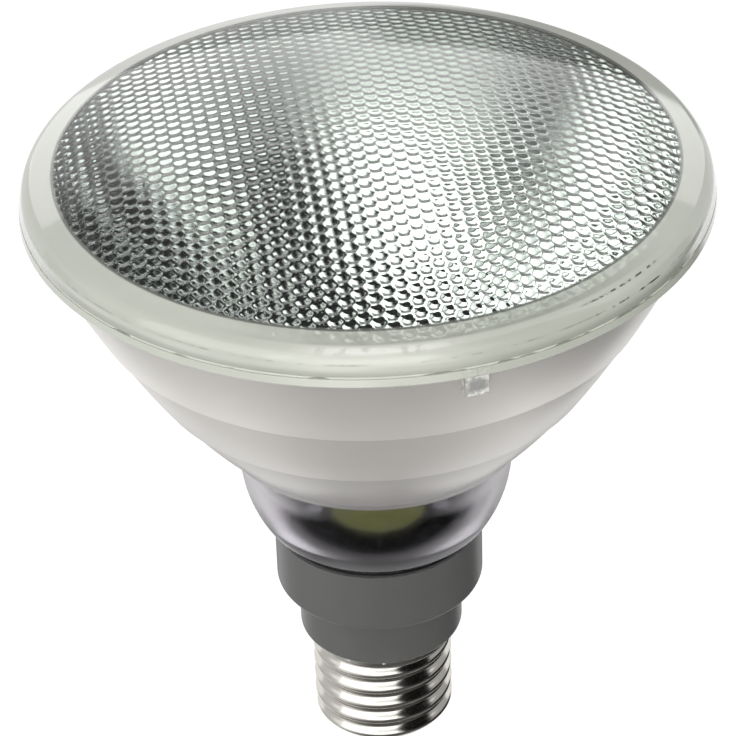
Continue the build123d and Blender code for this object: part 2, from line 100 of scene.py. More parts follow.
# Cement between lens and bowl
bead_low, bead_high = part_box("rim_seal")
bead_inner_radius = 55.8 * MM
bead_inset = 0.05 * MM
bead_recess = 0.6 * MM
bead_recess_start = 0.52
bead_recess_full = 0.66
bead_columns = 721
bead_lumps = 9.0
cement_mottle = 4.0 * MM
cement_lump = 1.0 * MM
cement_lump_depth = 0.05 * MM
cement_tones = rgb(194, 198, 185), rgb(210, 213, 201)
milk_cloud = 12.0 * MM
milk_tones = rgb(193, 197, 183), rgb(208, 211, 199)
# Painted light: the cement is drawn whiter towards the front of the ring.
painted_light_share = 0.5
painted_light_tone = rgb(232, 233, 222)
cement_gap_azimuth = radians(-45.0)
cement_gap_reach = radians(11.0)
cement_line_height = 124.0 * MM
cement_line_radius = 58.2 * MM
lower_line_reach = 0.2 * MM
upper_line_reach = 0.22 * MM
upper_line_rise = 1.0 * MM
line_core = 0.08 * MM
# Dark tone of the gaps in the cement and of the painted shadow line at the honeycomb's edge.
gap_and_shadow_tone = rgb(58, 62, 52)
dash_length = 1.6 * MM
dash_gaps = 0.42, 0.56
thread_length = 3.0 * MM
thread_gaps = 0.4, 0.7
thread_share = 0.3
# Painted shade on the ring's inner band at the front right, where the dark inside of the lamp shows through
# the glass.
painted_shade_azimuth = radians(-74.0)
painted_shade_reach = radians(48.0)
painted_shade_radius = 57.2 * MM
painted_shade_blend = 0.3 * MM
painted_shade_lump = 2.5 * MM
painted_shade_tone = rgb(132, 136, 124)
# Front of the ring, where the painted light and the painted glints lie.
lit_front_azimuth = radians(-89.0)
lit_front_reach = radians(15.0)
# Painted glints along the cement line at the front of the ring.
front_glint_reach = 0.9 * MM
front_glint_core = 0.2 * MM
front_glint_lump = 2.0 * MM
front_glint_gaps = 0.3, 0.55
front_glint_tone = rgb(244, 245, 236)
# Painted shadow line round the edge of the honeycomb.
pattern_edge_shadow_radius = pattern_radius + 0.45 * MM
pattern_edge_shadow_reach = 0.5 * MM
pattern_edge_shadow_core = 0.15 * MM
pattern_edge_shadow_share = 0.9

# Bowl and neck
bowl_top_radius = 57.8 * MM
bowl_depth = 46.2 * MM
bowl_wall = 2.3 * MM
bowl_steps = (119.2 * MM, 101.9 * MM, 86.9 * MM, 73.0 * MM)
bowl_ring_bulge = 0.2 * MM
# Painted shading of each ring of the bowl: share of the lighter tone at its top and at its bottom.
ring_painted_shading = ((0.46, 0.95), (0.56, 0.42), (0.14, 0.1))
cloud_whiteness = 0.12
silver_tone = rgb(248, 249, 249)
satin_tones = rgb(180, 177, 173), rgb(230, 226, 220)
satin_metal = 0.5
satin_grain_depth = 0.003
crease_radius = 28.7 * MM
crease_height = 73.0 * MM
crease_shade = 8.0 * MM
# Painted shade that darkens the satin towards the crease.
crease_shade_share = 0.5
crease_shade_tone = rgb(112, 109, 110)
throat_height = 70.8 * MM
neck_radius = 24.9 * MM
neck_wall = 2.4 * MM
neck_centre = 65.8 * MM
flare_height = 63.8 * MM
flare_blend = 1.0 * MM
window_height = 71.5 * MM
window_blend_up = 0.6 * MM
window_blend_down = 0.4 * MM
neck_tones = rgb(222, 217, 226), rgb(232, 227, 235)
etched_tones = rgb(192, 190, 192), rgb(204, 201, 203)
etch_facing = 0.36, 0.72
etch_widening = 0.15
etch_wide_start = neck_centre - 3.0 * MM
etch_wide_full = neck_centre + 2.0 * MM
etch_deep_start = neck_centre - 10.0 * MM
etch_deep_full = neck_centre - 1.0 * MM
etch_least = 0.25
etch_gain = 0.7
# Painted shade on the lower left of the neck: less of the etched whitening there.
left_shade_place = -14.0 * MM
left_shade_reach = 8.0 * MM
left_shade_start = neck_centre + 1.0 * MM
left_shade_full = neck_centre - 4.0 * MM
left_shade_loss = 0.6
flange_height = 119.2 * MM
flange_blend_up = 0.1 * MM
flange_blend_down = 0.4 * MM
lug_azimuth = radians(-73.8)
lug_reach = radians(2.6)
lug_height = 115.2 * MM
lug_clearance = 0.3 * MM
lug_edge = 0.7 * MM
lug_edge_blend = 1.0 * MM
lug_top_blend = 1.2 * MM
lug_face_reach = 0.75 * lug_reach
lug_face_core = 0.35 * lug_reach
lug_glint_size = 0.9 * MM
lug_ripple_size = 1.2 * MM
lug_ripple_depth = 0.5 * MM
# Painted glints on the lug's edges and a painted grey face for the bowl seen through it.
lug_glints = 0.4, 0.6
painted_lug_glint_tones = rgb(188, 188, 182), rgb(240, 240, 233)
painted_lug_face_tone = rgb(166, 165, 163)
bowl_focus = (bowl_top_radius ** 2 - crease_radius ** 2) / bowl_depth
bowl_vertex = crease_height - crease_radius ** 2 / bowl_focus

# Screw cap
shell_low, shell_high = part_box("screw_shell")
shell_bottom = shell_low.z
cap_top = shell_high.z
skirt_radius = shell_high.x
skirt_length = 2.7 * MM
thread_pitch = 3.629 * MM
thread_crest_radius = 13.15 * MM
thread_depth = 1.05 * MM
thread_lead_in = 4.73 * MM
shell_turn_in = 2.2 * MM
shell_sheet = 0.3 * MM
stake_count = 12
stake_depth = 0.3 * MM
stake_size = 0.55 * MM
stake_drop = 1.1 * MM
skirt_blend = 0.5 * MM
roll_blend = 0.5 * MM
thread_columns = 241
thread_rows = 160
row_crowding = 1.4
weld_distance = 0.001 * MM
plate_smear = 5.0 * MM
plate_wave = 2.5 * MM
plate_wave_depth = 0.015 * MM
nickel_tones = rgb(214, 210, 202), rgb(226, 223, 217)

# Collar, light source and driver
spark_size = 0.3 * MM
spark_depth = 0.01 * MM
collar_mottle = 6.0 * MM
collar_tones = rgb(83, 84, 82), rgb(90, 91, 89)
chip_pitch = 1.5 * MM
chip_reach = 0.55 * MM
chip_core = 0.3 * MM
gel_mottle = 2.0 * MM
gel_grain = 1.0 * MM
gel_tones = rgb(112, 119, 20), rgb(92, 98, 16)
wire_mottle = 2.0 * MM
# Copper painted darker between the turns of wire and lighter on them.
copper_shade_and_highlight_tones = rgb(112, 58, 26), rgb(190, 112, 58)
transformer_wire = 0.36 * MM
choke_wire = 0.3 * MM
copper_area = 6.0 * MM
copper_edge = 0.5, 0.53
copper_depth = 0.04 * MM
lacquer_grain = 0.5 * MM
lacquer_tones = rgb(24, 84, 44), rgb(46, 120, 62)
fine_relief = 0.02 * MM
smooth_relief = 0.01 * MM

# Mottled finishes of small parts: CAD node, material, two tones, width of the lumps, roughness, others
small_parts = (
    ("neck_seal", "sealant", (rgb(16, 16, 17), rgb(26, 26, 27)), 2 * MM, 0.5, {}),
    ("heat_sink", "black_aluminium", (rgb(14, 14, 15), rgb(22, 22, 24)), 3 * MM, 0.6, {"shine": 0.1}),
    ("led_board", "led_board", (rgb(16, 17, 20), rgb(24, 25, 28)), 3 * MM, 0.6, {"shine": 0.1}),
    ("led_dam", "led_dam", (rgb(46, 46, 40), rgb(58, 57, 50)), 2 * MM, 0.5, {"shine": 0.2}),
    ("led_screws", "steel", (rgb(140, 140, 140), rgb(170, 170, 170)), MM, 0.3, {"metal": 1.0}),
    ("transformer_core", "ferrite", (rgb(44, 44, 46), rgb(62, 62, 64)), MM, 0.6, {}),
    ("choke_core", "drum_ferrite", (rgb(44, 44, 46), rgb(62, 62, 64)), MM, 0.6, {}),
    ("transformer_bobbin", "bobbin_plastic", (rgb(30, 30, 30), rgb(40, 40, 40)), MM, 0.5, {}),
    ("smoothing_capacitor", "can_sleeve", (rgb(20, 24, 40), rgb(26, 30, 50)), 4 * MM, 0.3,
     {"relief": smooth_relief, "coat": 0.4}),
    ("film_capacitor", "film_box", (rgb(178, 140, 38), rgb(196, 156, 46)), 3 * MM, 0.4, {}),
    ("bridge_rectifier", "package_plastic", (rgb(26, 26, 27), rgb(36, 36, 37)), MM, 0.5, {}),
    ("control_chip", "chip_plastic", (rgb(24, 24, 25), rgb(34, 34, 35)), MM, 0.5, {}),
    ("fuse_resistor", "resistor_coat", (rgb(70, 110, 90), rgb(84, 124, 102)), MM, 0.5, {}),
    ("led_wire_positive", "red_wire", (rgb(150, 22, 18), rgb(170, 30, 24)), 2 * MM, 0.4, {}),
    ("led_wire_negative", "black_wire", (rgb(18, 18, 18), rgb(28, 28, 28)), 2 * MM, 0.4, {}),
    ("live_wire", "white_wire", (rgb(206, 204, 196), rgb(220, 218, 210)), 2 * MM, 0.4, {}),
    ("neutral_wire", "pale_wire", (rgb(200, 199, 192), rgb(216, 214, 208)), 2 * MM, 0.4, {}),
    ("cap_insulator", "black_glass", (rgb(12, 12, 14), rgb(20, 20, 24)), 3 * MM, 0.1,
     {"relief": smooth_relief, "coat": 0.5}),
    ("centre_contact", "contact_metal", (rgb(168, 166, 160), rgb(190, 188, 184)), 2 * MM, 0.25,
     {"metal": 1.0}),
)

# Camera, as read from the photograph's ellipses
camera_distance = 576.0 * MM
camera_elevation = radians(31.34)
camera_roll = radians(-1.98)
camera_level = 120.0 * MM
camera_target = Vector((-0.95 * MM, 0.0, camera_level - 37.32 * MM))
focal_pixels = 3317.7
image_pixels = 736
sensor_width = 36.0
nearest_seen = 0.01
farthest_seen = 20.0

# Studio
lamp_middle = Vector((0.0, 0.0, 0.08))
white = (1.0, 1.0, 1.0, 1.0)
square = ((-1, -1), (1, -1), (1, 1), (-1, 1))
floor_level = -0.6
floor_half = 6.0
floor_mottle = 0.4
floor_dark = (0.86, 0.86, 0.86, 1.0)
floor_light = (0.9, 0.9, 0.9, 1.0)
card_mottle = 0.3
card_lightest = 1.1
floor_glow = 0.32
ambient_light = 0.62
background_white = 1.0

# Area lights: name, place, width, height, power
softboxes = (
    ("key", (-0.9, -0.7, 0.9), 1.2, 1.2, 4.0),
    ("front", (-0.2, -1.5, 0.7), 1.4, 1.0, 3.5),
    ("back", (0.0, 1.6, 0.75), 2.0, 0.9, 5.0),
)
fill_light = ("fill", (0.0, -1.2, 0.4), 0.8, 0.8, 6.0)

# Dark and grey cards: name, place, width, height, glow, share that is solid before the soft edge
cards = (
    ("right_card", (0.45, -0.4, 0.35), 0.74, 1.7, 0.005, 0.7),
    ("low_front_card", (0.2, -0.36, -0.17), 0.6, 0.45, 0.005, 0.7),
    ("low_right_card", (0.4, -0.02, -0.22), 0.9, 0.6, 0.03, 0.7),
    ("low_card", (0.0, -0.07, -0.05), 0.38, 0.36, 0.1, 0.1),
    ("low_left_card", (-0.15, 0.02, -0.06), 0.24, 0.22, 0.55, 0.3),
    ("back_card", (0.26, 0.97, 0.18), 0.6, 0.36, 0.35, 0.7),
    ("neck_card", (0.0, 0.12, -0.01), 0.14, 0.11, 0.02, 0.7),
    ("right_grey", (0.9, 0.05, 0.15), 0.8, 0.7, 0.4, 0.7),
    ("left_grey", (-0.9, 0.1, 0.1), 0.8, 0.6, 0.6, 0.7),
)


class Value:
    """An output of a node; Python arithmetic on it adds Math nodes to its tree."""

    def __init__(self, builder, socket):
        self.builder = builder
        self.socket = socket

    def output(self, name):
        """Another output of the same node."""
        return Value(self.builder, self.socket.node.outputs[name])

    def math(self, operation, *terms):
        """Math node on the given terms, which may be numbers or values."""
        return self.builder.node("ShaderNodeMath", {"operation": operation}, dict(enumerate(terms)))

    def __add__(self, other):
        return self.math("ADD", self, other)

    def __radd__(self, other):
        return self.math("ADD", other, self)

    def __sub__(self, other):
        return self.math("SUBTRACT", self, other)

    def __rsub__(self, other):
        return self.math("SUBTRACT", other, self)

    def __mul__(self, other):
        return self.math("MULTIPLY", self, other)

    def __rmul__(self, other):
        return self.math("MULTIPLY", other, self)

    def __truediv__(self, other):
        return self.math("DIVIDE", self, other)

    def __rtruediv__(self, other):
        return self.math("DIVIDE", other, self)

    def __pow__(self, other):
        return self.math("POWER", self, other)

    def __gt__(self, other):
        return self.math("GREATER_THAN", self, other)

    def __lt__(self, other):
        return self.math("LESS_THAN", self, other)

    def sqrt(self):
        return self.math("SQRT", self.math("MAXIMUM", self, 0.0))

    def cos(self):
        return self.math("COSINE", self)

    def sin(self):
        return self.math("SINE", self)

    def round(self):
        return self.math("ROUND", self)

    def size(self):
        return self.math("ABSOLUTE", self)

    def least(self, other):
        return self.math("MINIMUM", self, other)

    def most(self, other):
        return self.math("MAXIMUM", self, other)

    def angle_to(self, other):
        """Angle of the point (other, self) about the origin."""
        return self.math("ARCTAN2", self, other)

    def ramp(self, low, high):
        """Smooth step from 0 at low to 1 at high."""
        return self.builder.node("ShaderNodeMapRange", {"interpolation_type": "SMOOTHSTEP"},
                                 {"Value": self, "From Min": low, "From Max": high})

    def wrapped(self, period):
        """Distance to the nearest multiple of a period."""
        return self - (self / period).round() * period

    def xyz(self):
        """The three parts of a vector."""
        split = self.builder.node("ShaderNodeSeparateXYZ", {}, {0: self})
        return split, split.output("Y"), split.output("Z")


class Builder:
    """Adds nodes to a shader or geometry tree."""

    def __init__(self, tree):
        self.tree = tree

    def node(self, kind, settings, sockets, output=0):
        """New node: settings first, then values or links of its sockets; returns one of its outputs."""
        made = self.tree.nodes.new(kind)
        for name, setting in settings.items():
            setattr(made, name, setting)
        for key, given in sockets.items():
            if isinstance(given, Value):
                self.tree.links.new(given.socket, made.inputs[key])
            else:
                made.inputs[key].default_value = given
        if not made.outputs:
            return None
        return Value(self, made.outputs[output])

    def vector(self, x, y, z):
        """Vector from three values."""
        return self.node("ShaderNodeCombineXYZ", {}, {"X": x, "Y": y, "Z": z})


class Finish(Builder):
    """A procedural material on Object coordinates."""

    def __init__(self, name):
        self.material = bpy.data.materials.new(name)
        self.material.use_nodes = True
        super().__init__(self.material.node_tree)
        self.tree.nodes.clear()
        self.place = self.node("ShaderNodeTexCoord", {}, {}, "Object")

    def noise(self, size, detail=2.0):
        """Noise between 0 and 1 whose lumps are about as wide as the given size."""
        return self.node("ShaderNodeTexNoise", {},
                         {"Vector": self.place, "Scale": 1.0 / size, "Detail": detail}, "Fac")

    def mix(self, share, first, second):
        """Colour between two colours."""
        return self.node("ShaderNodeMix", {"data_type": "RGBA"}, {0: share, 6: first, 7: second}, 2)

    def bump(self, height, depth):
        """Normal of a relief that is one depth high where height is 1."""
        return self.node("ShaderNodeBump", {}, {"Height": height, "Distance": depth, "Strength": 1.0})

    def surface(self, **sockets):
        """Principled surface."""
        titles = {name: name.replace("_", " ").title().replace("Ior", "IOR") for name in sockets}
        named = {titles[name]: given for name, given in sockets.items()}
        return self.node("ShaderNodeBsdfPrincipled", {}, named)

    def blend(self, share, first, second):
        """Surface between two surfaces."""
        return self.node("ShaderNodeMixShader", {}, {0: share, 1: first, 2: second})

    def done(self, surface):
        """Connects a surface to the output and returns the material."""
        self.node("ShaderNodeOutputMaterial", {}, {"Surface": surface})
        return self.material


def lens_glass():
    """Clear pressed glass with a faint green cast, cloudy in the plain ring round the honeycomb."""
    f = Finish("lens_glass")
    x, y, z = f.place.xyz()
    radius = (x * x + y * y).sqrt()
    ring = radius.ramp(pattern_radius, pattern_radius + ring_blend)
    waves = f.bump(f.noise(lens_wave, 1.0), lens_wave_depth)
    cast = f.mix(f.noise(lens_cast_size), *lens_tones)
    haze = f.noise(lens_haze_size) * lens_haze
    clear = f.surface(base_color=cast, roughness=haze, transmission_weight=1.0, ior=glass_index,
                      specular_tint=unreflecting, normal=waves)
    cloudy = cloudy_glass(f, ring_milk(f, y.angle_to(x), z, radius), ring_roughness + haze, waves)
    return f.done(f.blend(ring, clear, cloudy))


def ring_milk(f, azimuth, z, radius):
    """Greenish grey of thick glass over cement, with painted shade on the inner band where the dark inside
    shows through, painted glints at the front, broken dark lines where the cement has gaps and a painted
    shadow line at the honeycomb's edge.
    """
    # Painted shade on the inner band of the ring, where the dark inside shows through the glass.
    shade_side = (azimuth - painted_shade_azimuth).size().ramp(painted_shade_reach, painted_shade_reach / 4)
    painted_shade = radius.ramp(painted_shade_radius + painted_shade_blend, painted_shade_radius - painted_shade_blend) * shade_side
    painted_shade = painted_shade * (0.3 + f.noise(painted_shade_lump) * 0.6)
    milk = f.mix(painted_shade, cement_milk(f, azimuth), painted_shade_tone)
    # Painted glints along the front of the cement line.
    lit_front = (azimuth - lit_front_azimuth).size().ramp(lit_front_reach, lit_front_reach / 3)
    front_glint = (radius - cement_line_radius).size().ramp(front_glint_reach, front_glint_core) * lit_front
    milk = f.mix(front_glint * f.noise(front_glint_lump).ramp(*front_glint_gaps), milk, front_glint_tone)
    lower = (z - cement_line_height).size().ramp(lower_line_reach, line_core)
    lower = lower * (radius > cement_line_radius)
    upper = (radius - cement_line_radius).size().ramp(upper_line_reach, line_core)
    upper = upper * (z > cement_line_height + upper_line_rise)
    gappy = (azimuth - cement_gap_azimuth).size().ramp(cement_gap_reach, cement_gap_reach / 2)
    dashes = lower.most(upper) * gappy * f.noise(dash_length).ramp(*dash_gaps)
    thread = lower * f.noise(thread_length).ramp(*thread_gaps) * thread_share
    # Painted shadow line at the edge of the honeycomb.
    edge = (radius - pattern_edge_shadow_radius).size().ramp(pattern_edge_shadow_reach, pattern_edge_shadow_core)
    return f.mix(dashes.most(thread).most(edge * pattern_edge_shadow_share), milk, gap_and_shadow_tone)


def cement_milk(f, azimuth):
    """Cement seen through glass, with painted light that makes it whiter towards the front."""
    milk = f.mix(f.noise(milk_cloud), *milk_tones)
    # Painted light on the front of the ring.
    painted_light = (azimuth - lit_front_azimuth).size().ramp(1.5 * lit_front_reach, lit_front_reach / 3)
    return f.mix(painted_light * painted_light_share, milk, painted_light_tone)


def bowl_glass():
    """Pressed glass: silvered inside the bowl, satin outside it, milky at the rim, clear at the neck."""
    f = Finish("bowl_glass")
    x, y, z = f.place.xyz()
    radius = (x * x + y * y).sqrt()
    azimuth = y.angle_to(x)
    wall_middle = ((z - bowl_vertex) * bowl_focus).sqrt() - bowl_wall / 2
    silvered = (radius < wall_middle) * (z > throat_height)
    grain = f.noise(grain_size, grain_detail)
    cloud = f.noise(cloud_size)
    silver = f.surface(base_color=silver_tone, metallic=1.0, roughness=0.015 + cloud * 0.025)
    satin = satin_glass(f, z, grain, cloud)
    window = neck_window(f, x, y, z, radius, grain, cloud)
    beside_lug = (azimuth - lug_azimuth).size() < lug_reach
    lug = beside_lug * (z > lug_height) * (radius > wall_middle + bowl_wall / 2 + lug_clearance)
    rim = rim_glass(f, azimuth, z, lug, grain)
    neck = z.ramp(window_height + window_blend_up, window_height - window_blend_down)
    flange = z.ramp(flange_height - flange_blend_down, flange_height + flange_blend_up)
    outside = f.blend(flange.most(lug), f.blend(neck, satin, window), rim)
    return f.done(f.blend(silvered, outside, silver))


def satin_glass(f, z, grain, cloud):
    """Satin outside of the bowl, with painted shading on its rings and painted shade towards the crease."""
    # Painted shading of the rings, plus a random cloud in the tone.
    whiteness = painted_ring_shading(z) + (cloud - 0.5) * cloud_whiteness
    colour = f.mix(whiteness, *satin_tones)
    # Painted shade towards the crease.
    near_crease = z.ramp(crease_height + crease_shade, crease_height)
    colour = f.mix(near_crease * crease_shade_share, colour, crease_shade_tone)
    relief = f.bump(bowl_rings(z) + grain * satin_grain_depth, bowl_ring_bulge)
    return f.surface(base_color=colour, metallic=satin_metal, roughness=0.28 + grain * 0.06, normal=relief)


def painted_ring_shading(z):
    """Painted shading of the satin, which changes from the top to the bottom of each ring of the bowl in
    place of the light on its sloped faces.
    """
    whiteness = 0.0
    for high, low, (top, bottom) in zip(bowl_steps, bowl_steps[1:], ring_painted_shading):
        whiteness = whiteness + (z < high) * (z > low) * (top + z.ramp(high, low) * (bottom - top))
    return whiteness


def bowl_rings(z):
    """Height of the rounded rings between the bowl's steps, from 0 at a step to 1 in the middle."""
    rings = 0.0
    for high, low in zip(bowl_steps, bowl_steps[1:]):
        from_middle = (z - (high + low) / 2) / ((high - low) / 2)
        rings = rings + (1 - from_middle * from_middle).most(0.0)
    return rings


def rim_glass(f, azimuth, z, lug, grain):
    """Milky flange, and the lug under it with painted glints on its edges round a face painted grey as if the
    bowl showed through it.
    """
    face = (azimuth - lug_azimuth).size().ramp(lug_face_reach, lug_face_core)
    face = face * z.ramp(lug_height + lug_edge, lug_height + lug_edge + lug_edge_blend)
    face = face * z.ramp(flange_height, flange_height - lug_top_blend)
    # Painted glints on the lug's edges, painted grey of the bowl seen through its face.
    lug_glint_colour = f.mix(f.noise(lug_glint_size).ramp(*lug_glints), *painted_lug_glint_tones)
    lug_colour = f.mix(face, lug_glint_colour, painted_lug_face_tone)
    milk = f.mix(lug * (z < flange_height), cement_milk(f, azimuth), lug_colour)
    relief = f.bump(lug * f.noise(lug_ripple_size), lug_ripple_depth)
    return cloudy_glass(f, milk, 0.14 + grain * 0.06, relief)


def neck_window(f, x, y, z, radius, grain, cloud):
    """Clear glass of the neck, whose lightly etched outer face whitens where it is seen edge-on, less so on
    the lower left as painted shade.
    """
    from_centre = z - neck_centre
    neck_middle = ((neck_radius - neck_wall / 2) ** 2 - from_centre * from_centre).sqrt()
    outer_face = radius > neck_middle
    geometry = f.node("ShaderNodeNewGeometry", {}, {}, "Normal")
    from_inside = geometry.output("Backfacing")
    away = f.node("ShaderNodeVectorMath", {"operation": "NORMALIZE"}, {0: f.vector(x, y, 0.0)})
    upright = f.node("ShaderNodeVectorMath", {"operation": "SCALE"},
                     {0: away, "Scale": 1 - 2 * from_inside})
    flared = outer_face * z.ramp(flare_height - flare_blend, flare_height + flare_blend)
    normal = f.node("ShaderNodeMix", {"data_type": "VECTOR"}, {0: flared, 4: geometry, 5: upright}, 1)
    tint = f.mix(cloud, *neck_tones)
    frosted = 0.02 + outer_face * (0.27 + grain * 0.04)
    clear = f.surface(base_color=tint, roughness=frosted, transmission_weight=1.0, ior=neck_glass_index,
                      normal=normal)
    etched = f.surface(base_color=f.mix(cloud, *etched_tones), roughness=0.6)
    facing = f.node("ShaderNodeLayerWeight", {}, {"Blend": 0.5, "Normal": normal}, "Facing")
    higher = z.ramp(etch_wide_start, etch_wide_full)
    edge_on = (facing + higher * etch_widening).ramp(*etch_facing)
    deep = etch_least + z.ramp(etch_deep_start, etch_deep_full) * etch_gain
    # Painted shade: the etched whitening is cut on the lower left of the neck.
    left_shade = (x - left_shade_place).size().ramp(left_shade_reach, left_shade_reach / 4)
    left_shade = left_shade * z.ramp(left_shade_start, left_shade_full)
    etch = edge_on * deep * (1 - left_shade * left_shade_loss) * (1 - from_inside)
    return f.blend(outer_face * etch, clear, etched)


def cloudy_glass(f, milk, rough, relief):
    """Thick milky glass with a polished face."""
    return f.surface(base_color=milk, roughness=rough, transmission_weight=0.2, ior=glass_index,
                     coat_weight=0.9, coat_roughness=0.02, normal=relief)


def rim_cement():
    """Pale greenish cement between lens and bowl."""
    f = Finish("rim_cement")
    tone = f.mix(f.noise(cement_mottle), *cement_tones)
    lumps = f.noise(cement_lump)
    return f.done(f.surface(base_color=tone, roughness=0.6 + lumps * 0.2,
                            normal=f.bump(lumps, cement_lump_depth)))


def collar_plastic():
    """Mid-grey moulded plastic with a fine sparked texture."""
    f = Finish("collar_plastic")
    spark = f.noise(spark_size, grain_detail)
    tone = f.mix(f.noise(collar_mottle), *collar_tones)
    return f.done(f.surface(base_color=tone, roughness=0.3 + spark * 0.12,
                            normal=f.bump(spark, spark_depth)))


def nickel_plate():
    """Polished nickel-plated brass, a little hazy where it was handled."""
    f = Finish("nickel_plate")
    smear = f.noise(plate_smear, grain_detail)
    tone = f.mix(smear, *nickel_tones)
    return f.done(f.surface(base_color=tone, metallic=1.0, roughness=0.1 + smear * 0.1,
                            normal=f.bump(f.noise(plate_wave), plate_wave_depth)))


def plain_finish(name, tones, lump, rough, metal=0.0, relief=fine_relief, coat=0.0, shine=0.5):
    """Two-toned mottled finish with a fine relief, for small parts."""
    f = Finish(name)
    grain = f.noise(lump / 4, grain_detail)
    tone = f.mix(f.noise(lump), *tones)
    return f.done(f.surface(base_color=tone, roughness=rough + grain * 0.15, metallic=metal,
                            coat_weight=coat, specular_ior_level=shine, normal=f.bump(grain, relief)))


def wound_copper(name, turn):
    """Enamelled copper wire laid in turns one above the other, with painted shade between the turns and
    painted highlights on them.
    """
    f = Finish(name)
    height = f.place.xyz()[2]
    ridge = (height * (2 * pi / turn)).cos() * 0.5 + 0.5
    # Painted shade in the grooves, painted highlight on the crests.
    tone = f.mix(ridge, *copper_shade_and_highlight_tones)
    return f.done(f.surface(base_color=tone, metallic=0.8, roughness=0.25 + f.noise(wire_mottle) * 0.15,
                            normal=f.bump(ridge, turn / 3)))


def phosphor_gel():
    """Yellow phosphor over a grid of light-emitting chips."""
    f = Finish("phosphor")
    across, along = (part.wrapped(chip_pitch) for part in f.place.xyz()[:2])
    spot = (across * across + along * along).sqrt().ramp(chip_reach, chip_core)
    tone = f.mix(spot * 0.5 + f.noise(gel_mottle) * 0.3, *gel_tones)
    return f.done(f.surface(base_color=tone, roughness=0.35 + f.noise(gel_grain) * 0.1, coat_weight=0.3))


def circuit_board():
    """Lacquered board with a few broad copper areas under the lacquer."""
    f = Finish("circuit_board")
    areas = f.noise(copper_area, 0.0).ramp(*copper_edge)
    lacquer = f.noise(lacquer_grain)
    return f.done(f.surface(base_color=f.mix(areas, *lacquer_tones), roughness=0.4 + lacquer * 0.1,
                            normal=f.bump(areas, copper_depth)))


def paint(node, material):
    """Gives a CAD node its material."""
    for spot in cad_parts[node].material_slots:
        spot.material = material


def geometry_tree(name, inputs):
    """Empty geometry tree with named number inputs; returns its builder and the inputs as values."""
    tree = bpy.data.node_groups.new(name, "GeometryNodeTree")
    tree.interface.new_socket("Geometry", in_out="OUTPUT", socket_type="NodeSocketGeometry")
    for title, given in inputs.items():
        kind = "NodeSocketInt" if isinstance(given, int) else "NodeSocketFloat"
        tree.interface.new_socket(title, in_out="INPUT", socket_type=kind)
    builder = Builder(tree)
    entry = builder.node("NodeGroupInput", {}, {})
    return builder, {title: entry.output(title) for title in inputs}


def close_tree(builder, geometry, material):
    """Ends a geometry tree: instances made real and the material set."""
    real = builder.node("GeometryNodeRealizeInstances", {}, {0: geometry})
    smooth = builder.node("GeometryNodeSetShadeSmooth", {}, {0: real})
    painted = builder.node("GeometryNodeSetMaterial", {}, {"Geometry": smooth, "Material": material})
    builder.node("NodeGroupOutput", {}, {0: painted})


def grown_mesh(name, tree, inputs, finish=None):
    """Plain mesh of a geometry tree with the given inputs; finish may add modifiers after the tree."""
    host = bpy.data.objects.new(name, bpy.data.meshes.new(name))
    bpy.context.collection.objects.link(host)
    grower = host.modifiers.new("grow", "NODES")
    grower.node_group = tree
    for item in tree.interface.items_tree:
        if item.in_out == "INPUT":
            grower[item.identifier] = inputs[item.name]
    if finish:
        finish(host)
    bpy.context.view_layer.update()
    evaluated = host.evaluated_get(bpy.context.evaluated_depsgraph_get())
    mesh = bpy.data.meshes.new_from_object(evaluated)
    host.modifiers.clear()
    host.data = mesh
    mesh.name = name
    return host


def honeycomb_tree(inputs, material):
    """Disc of pillow-shaped hexagonal cells on the inside of the lens's dome."""
    b, given = geometry_tree("honeycomb", inputs)
    step = given["Pitch"] / (sqrt(3) * cell_splits)
    grid = b.node("GeometryNodeMeshGrid", {}, {
        "Size X": step * (given["Columns"] - 1),
        "Size Y": step * (given["Rows"] - 1) * (sqrt(3) / 2),
        "Vertices X": given["Columns"],
        "Vertices Y": given["Rows"],
    })
    x, y = b.node("GeometryNodeInputPosition", {}, {}).xyz()[:2]
    sheared = b.vector(x + y / sqrt(3), y, 0.0)
    turned = b.node("ShaderNodeVectorRotate", {"rotation_type": "Z_AXIS"},
                    {"Vector": sheared, "Angle": given["Turn"] + pi / 6})
    lattice = b.node("GeometryNodeSetPosition", {}, {"Geometry": grid, "Position": turned})
    lattice = b.node("GeometryNodeTriangulate", {"quad_method": "SHORTEST_DIAGONAL"}, {0: lattice})
    place = b.node("GeometryNodeInputPosition", {}, {})
    x, y = place.xyz()[:2]
    radius = (x * x + y * y).sqrt()
    disc = b.node("GeometryNodeDeleteGeometry", {"domain": "POINT"},
                  {"Geometry": lattice, "Selection": radius > given["Radius"]})
    along = b.node("ShaderNodeVectorRotate", {"rotation_type": "Z_AXIS"},
                   {"Vector": place, "Angle": 0.0 - given["Turn"]})
    u, v = along.xyz()[:2]
    tall = given["Pitch"] * sqrt(3)
    even = (u.wrapped(given["Pitch"]), v.wrapped(tall))
    odd = ((u - given["Pitch"] / 2).wrapped(given["Pitch"]), (v - tall / 2).wrapped(tall))
    squares = [a * a + c * c for a, c in (even, odd)]
    from_centre = squares[0].least(squares[1])
    pillow = given["Height"] * (1 - 3 * from_centre / (given["Pitch"] * given["Pitch"]))
    dome = given["Centre"] + (given["Dome"] * given["Dome"] - radius * radius).sqrt()
    pressed = b.vector(x, y, dome - pillow)
    shaped = b.node("GeometryNodeSetPosition", {}, {"Geometry": disc, "Position": pressed})
    close_tree(b, shaped, material)
    return b.tree


